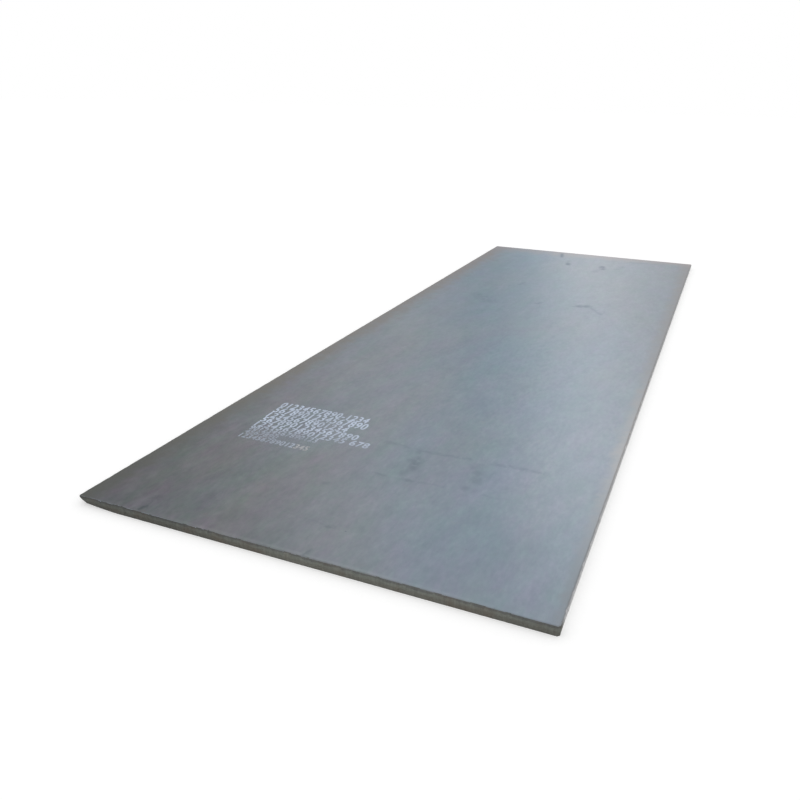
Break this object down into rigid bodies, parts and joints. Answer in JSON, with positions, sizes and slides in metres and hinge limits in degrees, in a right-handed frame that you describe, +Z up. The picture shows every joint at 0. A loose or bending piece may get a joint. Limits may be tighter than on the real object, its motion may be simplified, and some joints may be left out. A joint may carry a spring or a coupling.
{
  "type": "steel plate",
  "caption": "Thick hot-rolled steel plate lying flat, with sheared sides, blue-grey mill scale and stencilled digits; raw stock for cutting, welding and bearing loads.",
  "frame": {"origin": "middle of the underside, which rests on the floor", "axes": "+X across the width, +Y along the length and the way it was rolled, +Z up through the thickness"},
  "size_m": [2, 6, 0.04],
  "materials": {
    "mill_scale": "satin",
    "sheared_steel": "matte",
    "marking_paint": "matte"
  },
  "bodies": {
    "root": {"steel_plate": "mill_scale"}
  },
  "joints": []
}
